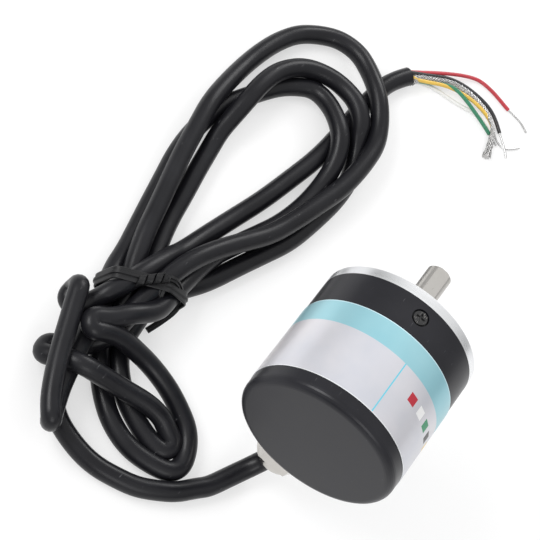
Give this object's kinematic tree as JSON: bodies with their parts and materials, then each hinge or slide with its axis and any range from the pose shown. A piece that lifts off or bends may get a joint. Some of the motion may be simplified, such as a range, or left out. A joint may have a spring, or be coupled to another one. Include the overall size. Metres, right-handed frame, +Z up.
{
  "type": "optical rotary encoder",
  "caption": "Round flange-mounted optical rotary encoder with a D-flat shaft and a radial gland, its long cable tied in a hank and ending in bare wires.",
  "frame": {"origin": "centre of the flange's front face, on the shaft axis, where the encoder is bolted to its bracket", "axes": "+X along the shaft, outward from the flange; +Z up, opposite to the cable gland"},
  "size_m": [0.1595, 0.0856, 0.0621],
  "materials": {
    "aluminium_flange": "turned, satin",
    "black_cover": "satin black",
    "label_foil": "satin foil with a light blue band",
    "black_screw": "black oxide",
    "steel_shaft": "ground",
    "bearing_steel": "polished",
    "spacer_steel": "turned",
    "clip_steel": "phosphated spring steel",
    "hub_metal": "turned",
    "small_screw": "zinc plated",
    "disc_metal": "etched and dark on its rear face",
    "dark_plastic": "moulded",
    "mask_metal": "etched",
    "board_green": "solder mask",
    "post_brass": "turned",
    "socket_white": "moulded",
    "gland_nickel": "nickel plated, satin",
    "gland_rubber": "moulded",
    "cable_jacket": "satin jacket",
    "tie_plastic": "black paper and wire tie",
    "wire_red": "insulation",
    "wire_black": "insulation",
    "wire_yellow": "insulation",
    "wire_green": "insulation",
    "wire_white": "insulation",
    "tinned_copper": "braided and tinned"
  },
  "bodies": {
    "housing": {"bearing_clip": "clip_steel", "board_post_1": "post_brass", "board_post_2": "post_brass", "board_post_3": "post_brass", "board_screw_1": "small_screw", "board_screw_2": "small_screw", "board_screw_3": "small_screw", "board_socket": "socket_white", "cable_hank": "cable_jacket", "cable_inner": "cable_jacket", "cable_lead": "cable_jacket", "cable_tail": "cable_jacket", "circuit_board": "board_green", "core_black": "wire_black", "core_green": "wire_green", "core_red": "wire_red", "core_white": "wire_white", "core_yellow": "wire_yellow", "cover_screw_1": "black_screw", "cover_screw_2": "black_screw", "cover_screw_3": "black_screw", "driver_chip": "dark_plastic", "front_bearing_outer_ring": "bearing_steel", "front_bearing_shield": "bearing_steel", "front_flange": "aluminium_flange", "gland_body": "gland_nickel", "gland_bush": "gland_rubber", "gland_locknut": "gland_nickel", "gland_nut": "gland_nickel", "gland_washer": "gland_rubber", "housing_cover": "black_cover", "index_mask": "mask_metal", "label_wrap": "label_foil", "light_sensor": "dark_plastic", "light_source": "dark_plastic", "outer_spacer": "spacer_steel", "rear_bearing_outer_ring": "bearing_steel", "regulator_chip": "dark_plastic", "shield_braid": "tinned_copper", "twist_tie": "tie_plastic"},
    "rotor": {"encoder_shaft": "steel_shaft", "shaft_clip": "clip_steel", "front_bearing_inner_ring": "bearing_steel", "rear_bearing_inner_ring": "bearing_steel", "inner_spacer": "spacer_steel", "disc_hub": "hub_metal", "hub_screw": "small_screw", "code_disc": "disc_metal", "disc_clamp": "hub_metal"},
    "front_ball_set": {"front_bearing_balls": "bearing_steel", "front_bearing_cage": "bearing_steel"},
    "rear_ball_set": {"rear_bearing_balls": "bearing_steel", "rear_bearing_cage": "bearing_steel"}
  },
  "joints": [
    {"name": "shaft_spin", "type": "hinge", "parent": "housing", "child": "rotor", "pos_m": [0, 0, 0], "axis": [1, 0, 0], "continuous": true},
    {"name": "front_ball_spin", "type": "hinge", "parent": "housing", "child": "front_ball_set", "pos_m": [0.0015, 0, 0], "axis": [1, 0, 0], "continuous": true},
    {"name": "rear_ball_spin", "type": "hinge", "parent": "housing", "child": "rear_ball_set", "pos_m": [-0.0085, 0, 0], "axis": [1, 0, 0], "continuous": true}
  ],
  "couplings": [
    {"joint": "front_ball_spin", "follows": "shaft_spin", "ratio": 0.3947},
    {"joint": "rear_ball_spin", "follows": "shaft_spin", "ratio": 0.3947}
  ]
}
